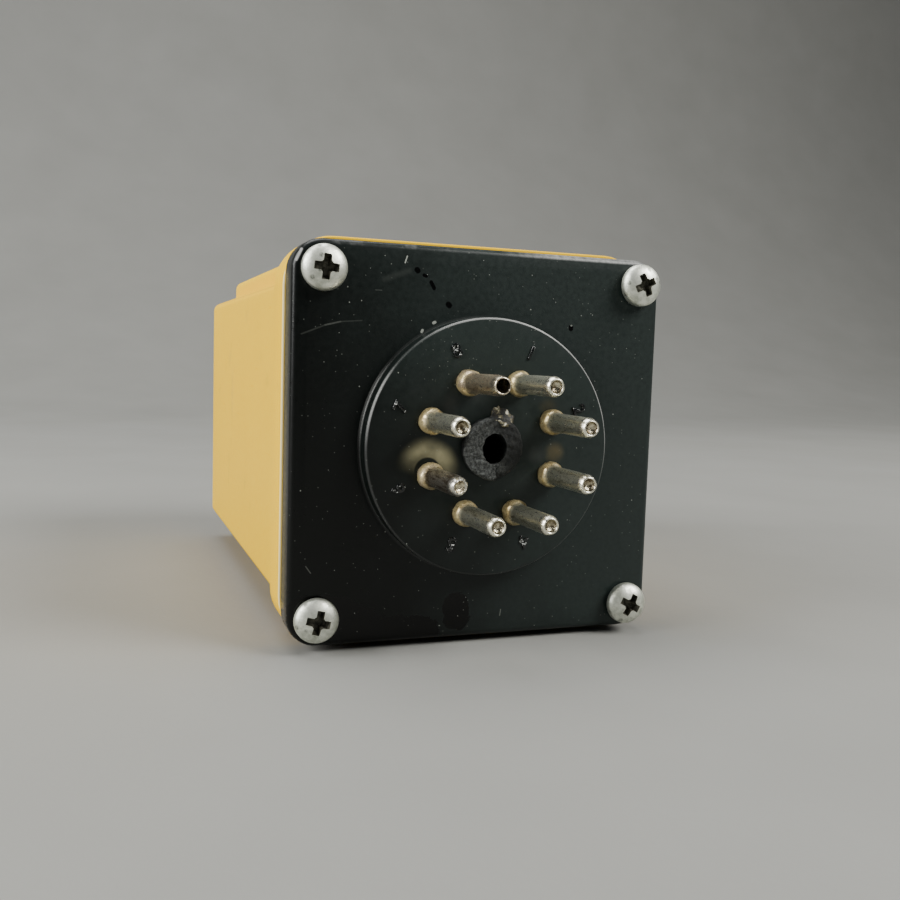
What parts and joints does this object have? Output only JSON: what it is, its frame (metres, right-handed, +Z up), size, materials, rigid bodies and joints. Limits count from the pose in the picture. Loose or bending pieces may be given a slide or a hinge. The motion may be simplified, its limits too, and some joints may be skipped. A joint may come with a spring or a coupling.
{
  "type": "plug-in relay",
  "caption": "Plug-in relay lying on its side: black octal base plate with hollow pins and corner screws, a yellow box cover, and a coil, sprung armature and contacts inside.",
  "frame": {"origin": "bottom centre of the whole relay, pins included, as it lies on its side", "axes": "+Y from the pins to the far end of the cover, +X right and +Z up as seen from the pins, with the key of the base at the top"},
  "size_m": [0.0498, 0.0966, 0.051],
  "materials": {
    "black_phenolic": "semi-gloss moulded, dusty and lightly scratched",
    "yellow_plastic": "satin moulded",
    "tinned_brass": "tinned and tarnished",
    "zinc_steel": "dull zinc plate",
    "soft_steel": "plain rolled",
    "spring_steel": "drawn wire",
    "natural_nylon": "moulded",
    "copper": "enamelled or plain copper",
    "coil_tape": "wrapped film",
    "brass": "stamped",
    "spring_bronze": "rolled strip",
    "contact_silver": "turned",
    "brown_phenolic": "moulded",
    "wire_insulation": "extruded"
  },
  "bodies": {
    "relay": {"base_plate": "black_phenolic", "pin_1": "tinned_brass", "pin_2": "tinned_brass", "pin_3": "tinned_brass", "pin_4": "tinned_brass", "pin_5": "tinned_brass", "pin_6": "tinned_brass", "pin_7": "tinned_brass", "pin_8": "tinned_brass", "cover": "yellow_plastic", "cover_screw_1": "zinc_steel", "cover_screw_2": "zinc_steel", "cover_screw_3": "zinc_steel", "cover_screw_4": "zinc_steel", "yoke": "soft_steel", "yoke_screw_1": "zinc_steel", "yoke_screw_2": "zinc_steel", "core": "soft_steel", "core_nut": "zinc_steel", "bobbin": "natural_nylon", "coil_winding": "copper", "coil_tape": "coil_tape", "shading_ring": "copper", "coil_terminal_1": "brass", "coil_terminal_2": "brass", "contact_block": "brown_phenolic", "block_screw_1": "zinc_steel", "block_screw_2": "zinc_steel", "fixed_blade_nc_1": "brass", "fixed_blade_nc_2": "brass", "fixed_blade_no_1": "brass", "fixed_blade_no_2": "brass", "fixed_contact_nc_1": "contact_silver", "fixed_contact_nc_2": "contact_silver", "fixed_contact_no_1": "contact_silver", "fixed_contact_no_2": "contact_silver", "return_spring": "spring_steel", "lead_1": "wire_insulation", "lead_2": "wire_insulation", "lead_3": "wire_insulation", "lead_4": "wire_insulation", "lead_5": "wire_insulation", "lead_6": "wire_insulation", "lead_7": "wire_insulation", "lead_8": "wire_insulation"},
    "armature_assembly": {"armature": "soft_steel", "contact_card": "brown_phenolic", "card_rivet_1": "brass", "card_rivet_2": "brass", "moving_blade_1": "spring_bronze", "moving_blade_2": "spring_bronze", "moving_contact_1": "contact_silver", "moving_contact_2": "contact_silver"}
  },
  "joints": [
    {"name": "armature_hinge", "type": "hinge", "parent": "relay", "child": "armature_assembly", "pos_m": [0.0076, 0.026, 0.0255], "axis": [0, 0, 1], "range_deg": [0, 3], "stiffness_Nm_per_rad": 0.015, "springref_deg": -17.19, "deforming": ["return_spring", "lead_1", "lead_8"]}
  ]
}
